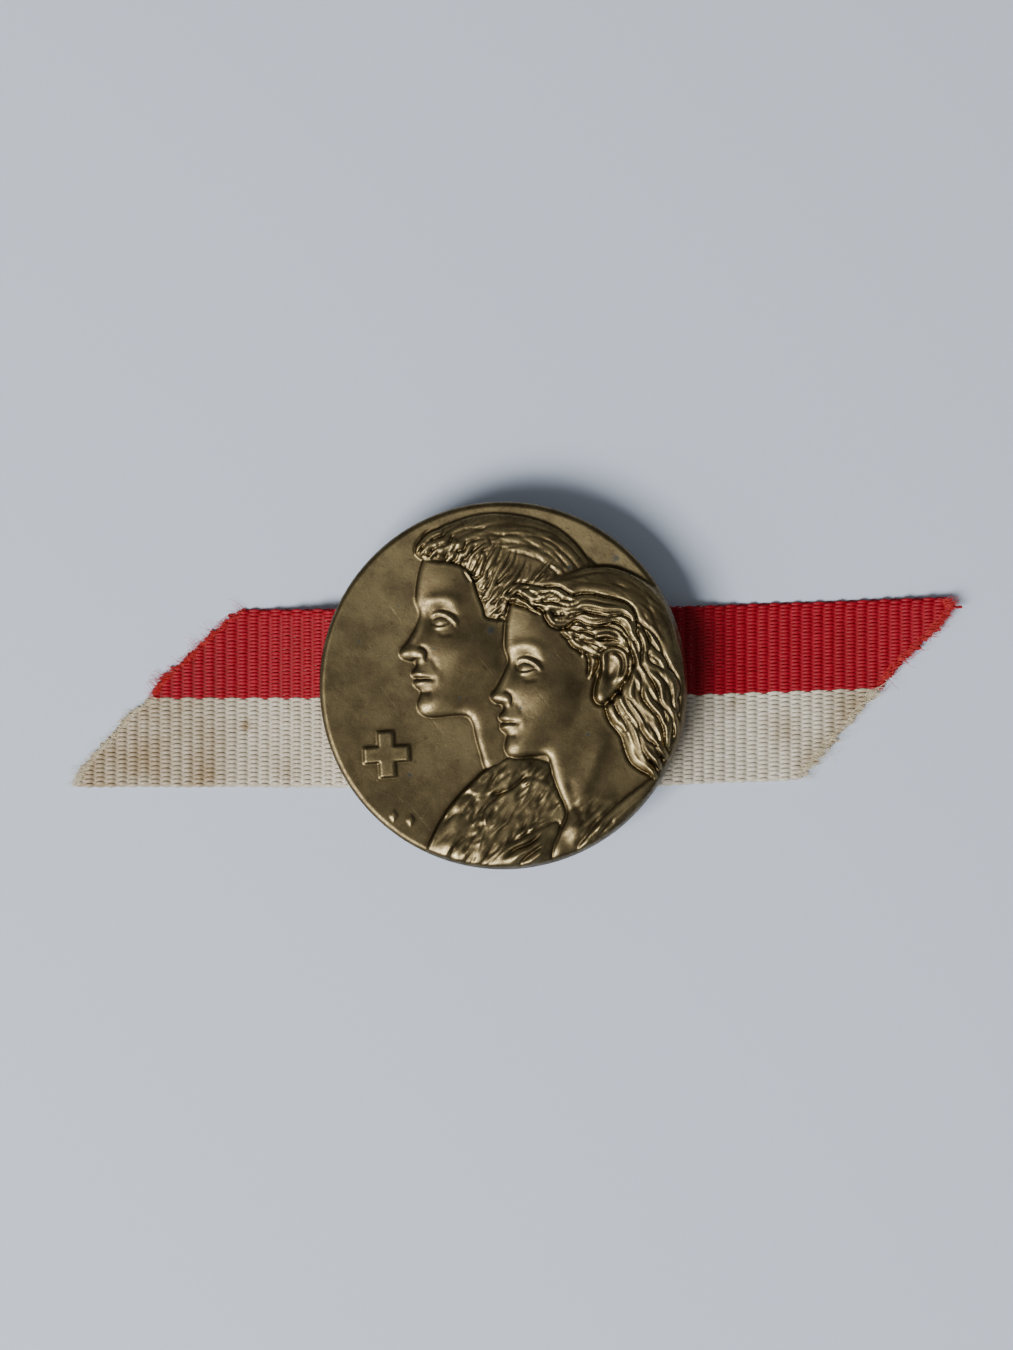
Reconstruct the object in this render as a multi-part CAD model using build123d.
"""Round two-bust ribbon badge: a struck brass shell closed by a crimped back plate, a woven ribbon held
behind it by two soldered straps, and a hinged pin with a turning safety catch.

Units are millimetres. +X is the wearer's left to right as the face is read, +Y is up the face, and +Z is
out of the face. Z is 0 at the surface that the badge lies on, face up. Every part is drawn about the
medallion's own axis and moved sideways at the end, so that the origin is under the middle of the badge.
"""

import os
from math import cos, radians, tan

from build123d import *

# Driving dimensions -----------------------------------------------------------------------------------
MEDAL_DIAMETER = 26.0
MEDAL_THICKNESS = 1.95
SHEET = 0.6
RIM_WALL = 1.0
RIM_ROUND = 0.45
FIELD_DISH = 0.25
MAN_RELIEF = 0.55
WOMAN_RELIEF = 0.90
CROSS_RELIEF = 0.22

BACK_PLATE = 0.5
CRIMP_LIP = 0.15
CRIMP_REACH = 0.5

RIBBON_WIDTH = 12.7
RIBBON_THICKNESS = 0.42
RIBBON_LOW_EDGE = -7.27
RIBBON_TURN = 2.0
LEFT_TIP, LEFT_CORNER = -30.9, -18.5
RIGHT_CORNER, RIGHT_TIP = 20.8, 32.5
RIGHT_CURL = 0.7

STRAP_WIDTH = 1.6
STRAP_SHEET = 0.4
STRAP_OFFSET = 4.0
STRAP_FOOT = 1.0
CHANNEL = 0.62

PIN_HEIGHT = 1.35
PIN_Y = 8.0
PIN_RADIUS = 0.35
HINGE_X = -6.4
CATCH_X = 6.3
RUNNING_CLEARANCE = 0.05

# Worked out from them ---------------------------------------------------------------------------------
MEDAL_RADIUS = MEDAL_DIAMETER / 2
PLATE_REAR = 2.6
RIM_LOW = PLATE_REAR - CRIMP_LIP
FIELD = RIM_LOW + MEDAL_THICKNESS
PLATE_FRONT = PLATE_REAR + BACK_PLATE
RIBBON_TOP_EDGE = RIBBON_LOW_EDGE + RIBBON_WIDTH
MEDAL_X = -(LEFT_TIP + RIGHT_TIP) / 2


def rounded_box(width, depth, height, corner, centre):
    """A flat plate with rounded corners, its centre at the given point."""
    plate = extrude(RectangleRounded(width, depth, corner), height / 2, both=True)
    return Pos(*centre) * plate


# Medallion --------------------------------------------------------------------------------------------
def shell_body():
    """The struck sheet: a dished field, a rounded edge, a rim wall, and a lip crimped over the plate."""
    inside = MEDAL_RADIUS - RIM_WALL
    seat = inside + CRIMP_REACH
    lip = seat - CRIMP_REACH
    rim_top = FIELD + FIELD_DISH
    under = FIELD - SHEET
    low_round = 0.3
    corner = cos(radians(45))
    with BuildSketch(Plane.XZ) as profile:
        with BuildLine():
            ThreePointArc((0, FIELD), (inside / 2, FIELD + FIELD_DISH / 4), (inside, rim_top))
            Line((inside, rim_top), (MEDAL_RADIUS - RIM_ROUND, rim_top))
            ThreePointArc(
                (MEDAL_RADIUS - RIM_ROUND, rim_top),
                (
                    MEDAL_RADIUS - RIM_ROUND * (1 - corner),
                    rim_top - RIM_ROUND * (1 - corner),
                ),
                (MEDAL_RADIUS, rim_top - RIM_ROUND),
            )
            Line((MEDAL_RADIUS, rim_top - RIM_ROUND), (MEDAL_RADIUS, RIM_LOW + low_round))
            ThreePointArc(
                (MEDAL_RADIUS, RIM_LOW + low_round),
                (
                    MEDAL_RADIUS - low_round * (1 - corner),
                    RIM_LOW + low_round * (1 - corner),
                ),
                (MEDAL_RADIUS - low_round, RIM_LOW),
            )
            Polyline(
                (MEDAL_RADIUS - low_round, RIM_LOW),
                (lip, RIM_LOW),
                (lip, PLATE_REAR),
                (seat, PLATE_REAR),
                (seat, PLATE_FRONT),
                (inside, PLATE_FRONT),
                (inside, under),
                (0, under),
                (0, FIELD),
            )
        make_face()
    return revolve(profile.sketch, Axis.Z)


def head_profile(front, chin, unit, points):
    """Points of a face in profile, given in thirds of the face's height from the chin and the forehead."""
    return [(front + unit * across, chin + unit * up) for across, up in points]


def bust(outline, low, high):
    """A raised silhouette on the field, clipped to the inside of the rim."""
    with BuildSketch() as flat:
        with BuildLine():
            edge = Spline(*outline)
            Line(edge @ 1, edge @ 0)
        make_face()
    block = Pos(0, 0, low) * extrude(flat.sketch, high - low)
    room = Pos(0, 0, (low + high) / 2) * Cylinder(MEDAL_RADIUS - RIM_WALL + 0.3, high - low + 1)
    return block & room


def man_outline():
    """Short-haired head and a jacketed shoulder, facing left."""
    face = [
        (0.05, 2.95),
        (-0.06, 2.40),
        (-0.08, 2.05),
        (0.02, 1.80),
        (-0.14, 1.50),
        (-0.36, 1.13),
        (-0.08, 0.97),
        (-0.15, 0.77),
        (-0.08, 0.68),
        (-0.12, 0.58),
        (-0.01, 0.43),
        (-0.07, 0.24),
        (0.10, 0.01),
        (0.50, 0.05),
        (0.84, 0.02),
    ]
    shoulder = [(-2.0, -4.4), (-1.4, -6.3), (-3.6, -8.1), (-5.2, -10.6), (-5.6, -13.0)]
    behind = [(4.0, -13.0), (8.0, 0.0), (6.4, 7.2)]
    crown = [(4.6, 10.0), (2.4, 11.5), (-0.6, 12.0), (-3.6, 11.3), (-5.7, 9.9)]
    return [*head_profile(-5.9, -2.1, 3.9, face), *shoulder, *behind, *crown]


def woman_outline():
    """Long-haired head, bare neck and the edge of a collar, facing left."""
    face = [
        (0.10, 2.95),
        (-0.04, 2.45),
        (-0.03, 2.02),
        (0.05, 1.80),
        (-0.08, 1.52),
        (-0.29, 1.15),
        (-0.06, 1.00),
        (-0.13, 0.79),
        (-0.06, 0.70),
        (-0.11, 0.60),
        (0.00, 0.46),
        (-0.04, 0.27),
        (0.14, 0.02),
        (0.50, 0.08),
        (0.84, 0.10),
    ]
    chest = [(3.4, -7.0), (4.3, -9.0), (2.6, -10.4), (-1.2, -12.9)]
    behind = [(6.0, -13.5), (13.5, -6.0), (13.6, 2.0), (11.6, 5.6)]
    crown = [(9.4, 7.6), (6.4, 8.3), (3.2, 7.6), (1.0, 6.6)]
    return [*head_profile(0.1, -5.1, 3.72, face), *chest, *behind, *crown]


def cross_block():
    """The small equal-armed cross in the left of the field."""
    span, arm = 3.4, 1.15
    height = SHEET / 2 + CROSS_RELIEF
    cross = Box(span, arm, height) + Box(arm, span, height)
    return Pos(-8.3, -4.9, FIELD + 0.1 + CROSS_RELIEF - height / 2) * cross


def medallion_shell():
    """The whole struck face: sheet, cross and both busts in one piece."""
    root = FIELD - SHEET / 2
    man = bust(man_outline(), root, FIELD + MAN_RELIEF)
    woman = bust(woman_outline(), root, FIELD + WOMAN_RELIEF)
    return shell_body() + cross_block() + man + woman


def back_plate():
    """The blank disc that closes the shell."""
    radius = MEDAL_RADIUS - RIM_WALL + CRIMP_REACH - RUNNING_CLEARANCE
    return Pos(0, 0, PLATE_REAR + BACK_PLATE / 2) * Cylinder(radius, BACK_PLATE)


# Ribbon -----------------------------------------------------------------------------------------------
def ribbon_side():
    """The ribbon seen from its edge: level behind the medallion, then down to the surface on both sides."""
    behind = PLATE_REAR - CHANNEL / 2 - RIBBON_THICKNESS / 2
    leave, land = 7.2, 18.5
    left, right = LEFT_TIP - 1, RIGHT_TIP + 1
    curl = RIGHT_TIP - 8.5

    def long_edge(lift):
        low, high = lift, behind + lift
        Line((left, low), (-land, low))
        Spline((-land, low), (-leave, high), tangents=[(1, 0), (1, 0)])
        Line((-leave, high), (leave, high))
        Spline((leave, high), (land, low), tangents=[(1, 0), (1, 0)])
        Line((land, low), (curl, low))
        Spline((curl, low), (right, low + RIGHT_CURL), tangents=[(1, 0), (1, 0.1)])

    with BuildSketch(Plane.XZ) as side:
        with BuildLine():
            long_edge(0)
            Line((right, RIGHT_CURL), (right, RIGHT_CURL + RIBBON_THICKNESS))
            long_edge(RIBBON_THICKNESS)
            Line((left, 0), (left, RIBBON_THICKNESS))
        make_face()
    return extrude(side.sketch, RIBBON_WIDTH, both=True)


def ribbon():
    """One strip cut on the slant at both ends, its right tail turned up a little."""
    pivot = STRAP_OFFSET + 3
    rise = tan(radians(RIBBON_TURN))
    low, top = RIBBON_LOW_EDGE, RIBBON_TOP_EDGE
    outline = Polyline(
        (LEFT_TIP, low),
        (pivot, low),
        (RIGHT_CORNER, low + (RIGHT_CORNER - pivot) * rise),
        (RIGHT_TIP, top + (RIGHT_TIP - pivot) * rise),
        (pivot, top),
        (LEFT_CORNER, top),
        close=True,
    )
    plan = Pos(0, 0, -1) * extrude(make_face(outline), 6)
    return ribbon_side() & plan


def ribbon_strap(across):
    """A flat strap over the ribbon, its two feet soldered to the back plate."""
    gap = 0.25
    low, top = RIBBON_LOW_EDGE - gap, RIBBON_TOP_EDGE + gap
    face, crest = PLATE_REAR, PLATE_REAR - CHANNEL
    side = Polyline(
        (low - STRAP_SHEET - STRAP_FOOT, face),
        (low, face),
        (low, crest),
        (top, crest),
        (top, face),
        (top + STRAP_SHEET + STRAP_FOOT, face),
        (top + STRAP_SHEET + STRAP_FOOT, face - STRAP_SHEET),
        (top + STRAP_SHEET, face - STRAP_SHEET),
        (top + STRAP_SHEET, crest - STRAP_SHEET),
        (low - STRAP_SHEET, crest - STRAP_SHEET),
        (low - STRAP_SHEET, face - STRAP_SHEET),
        (low - STRAP_SHEET - STRAP_FOOT, face - STRAP_SHEET),
        close=True,
    )
    strap = extrude(Plane.YZ * make_face(side), STRAP_WIDTH / 2, both=True)
    outer = strap.faces().filter_by(Axis.Z).sort_by(Axis.Z)[0]
    strap = fillet(outer.edges().filter_by(Axis.X), STRAP_SHEET * 0.8)
    return Pos(across, 0, 0) * strap


# Hinge ------------------------------------------------------------------------------------------------
FOOT_SHEET = 0.35
EAR_SHEET = 0.4
EAR_RADIUS = 0.85
KNUCKLE_LENGTH = 1.0
RIVET_RADIUS = 0.4
RIVET_HEAD = 0.25


def foot(back, front, width):
    """The plate of a fitting that is soldered to the back plate, from x = -back to x = front."""
    middle = ((front - back) / 2, 0, PLATE_REAR - FOOT_SHEET / 2 - PIN_HEIGHT)
    return rounded_box(back + front, width, FOOT_SHEET, 0.3, middle)


def hinge_bracket():
    """A soldered foot with two ears that carry the rivet."""
    gap = KNUCKLE_LENGTH / 2 + RUNNING_CLEARANCE
    rise = PLATE_REAR - FOOT_SHEET / 2 - PIN_HEIGHT
    bracket = foot(1.3, 0.75, 2 * (gap + EAR_SHEET))
    for side in (-1, 1):
        round_end = Rot(90, 0, 0) * Cylinder(EAR_RADIUS, EAR_SHEET)
        post = Pos(0, 0, rise / 2) * Box(1.5, EAR_SHEET, rise)
        bracket += Pos(0, side * (gap + EAR_SHEET / 2), 0) * (round_end + post)
    bracket -= Rot(90, 0, 0) * Cylinder(RIVET_RADIUS, 4 * gap)
    return Pos(HINGE_X, PIN_Y, PIN_HEIGHT) * bracket


def hinge_rivet():
    """The rivet that the pin turns on, with a low round head at each end."""
    half = KNUCKLE_LENGTH / 2 + RUNNING_CLEARANCE + EAR_SHEET
    rivet = Cylinder(RIVET_RADIUS, 2 * half)
    for side in (-1, 1):
        head = Pos(0, 0, side * (half + RIVET_HEAD / 2)) * Cylinder(0.65, RIVET_HEAD)
        outer = head.edges().filter_by(GeomType.CIRCLE).sort_by(Axis.Z)[-1 if side > 0 else 0]
        rivet += fillet(outer, RIVET_HEAD * 0.8)
    return Pos(HINGE_X, PIN_Y, PIN_HEIGHT) * Rot(90, 0, 0) * rivet


def pin_needle():
    """The sharp pin with its knuckle: a straight stem, a long taper through the catch, and a point."""
    stem_end = CATCH_X - 1.5 - HINGE_X
    catch_end = CATCH_X + 1.2 - HINGE_X
    point = CATCH_X + 2.4 - HINGE_X
    with BuildSketch(Plane.XZ) as profile:
        with BuildLine():
            Polyline(
                (0, 0),
                (0, PIN_RADIUS),
                (stem_end, PIN_RADIUS),
                (catch_end, 0.25),
                (point, 0.04),
                (point, 0),
                close=True,
            )
        make_face()
    needle = revolve(profile.sketch, Axis.X)
    needle += Rot(90, 0, 0) * Cylinder(EAR_RADIUS, KNUCKLE_LENGTH)
    needle -= Rot(90, 0, 0) * Cylinder(RIVET_RADIUS + RUNNING_CLEARANCE, 2 * KNUCKLE_LENGTH)
    return Pos(HINGE_X, PIN_Y, PIN_HEIGHT) * needle


# Safety catch -----------------------------------------------------------------------------------------
CATCH_GAP = 1.0
CATCH_RING = 0.5
RING_RADIUS = 1.2
BARREL_RADIUS = 0.8
COLLAR_RADIUS = 1.05
SLOT = 0.9
TAB_REACH = 1.75
TAB_ANGLE = -165


def pin_way(length):
    """The way in for the pin: a slot from the axis outwards, away from the medallion."""
    return Pos(0, 0, -1) * Box(length, SLOT, 2) + Rot(0, 90, 0) * Cylinder(SLOT / 2, length)


def catch_base():
    """A soldered foot with two slotted rings that hold the roller, and a window over its collar."""
    half = CATCH_GAP / 2 + CATCH_RING
    rise = PLATE_REAR - FOOT_SHEET / 2 - PIN_HEIGHT
    base = foot(half + 0.3, half + 0.3, 1.8 * RING_RADIUS)
    for side in (-1, 1):
        ring = Rot(0, 90, 0) * Cylinder(RING_RADIUS, CATCH_RING)
        post = Pos(0, 0, rise / 2) * Box(CATCH_RING, 1.6 * RING_RADIUS, rise)
        base += Pos(side * (CATCH_GAP + CATCH_RING) / 2, 0, 0) * (ring + post)
    base -= Rot(0, 90, 0) * Cylinder(BARREL_RADIUS + RUNNING_CLEARANCE, 3 * half)
    base -= Rot(0, 90, 0) * Cylinder(COLLAR_RADIUS + 0.1, CATCH_GAP)
    return Pos(CATCH_X, PIN_Y, PIN_HEIGHT) * (base - pin_way(3 * half))


def catch_roller():
    """The slotted roller that turns inside the rings, with a collar between them and a thumb tab."""
    length = CATCH_GAP + 2 * CATCH_RING + 0.3
    width = CATCH_GAP - 2 * RUNNING_CLEARANCE
    tab = Pos(0, TAB_REACH / 2, 0) * Box(width, TAB_REACH, 0.5)
    tab = fillet(tab.faces().sort_by(Axis.Y)[-1].edges().filter_by(Axis.Z), 0.3)
    roller = Rot(0, 90, 0) * (Cylinder(BARREL_RADIUS, length) + Cylinder(COLLAR_RADIUS, width))
    roller += Rot(TAB_ANGLE, 0, 0) * tab
    return Pos(CATCH_X, PIN_Y, PIN_HEIGHT) * (roller - pin_way(2 * length))


# Parts ------------------------------------------------------------------------------------------------
PARTS = {
    "medallion_shell": medallion_shell,
    "back_plate": back_plate,
    "ribbon": ribbon,
    "ribbon_strap_left": lambda: ribbon_strap(-STRAP_OFFSET),
    "ribbon_strap_right": lambda: ribbon_strap(STRAP_OFFSET),
    "hinge_bracket": hinge_bracket,
    "hinge_rivet": hinge_rivet,
    "pin_needle": pin_needle,
    "catch_base": catch_base,
    "catch_roller": catch_roller,
}

os.makedirs("parts", exist_ok=True)
for name, build in PARTS.items():
    export_step(Pos(MEDAL_X, 0, 0) * build(), f"parts/{name}.step")
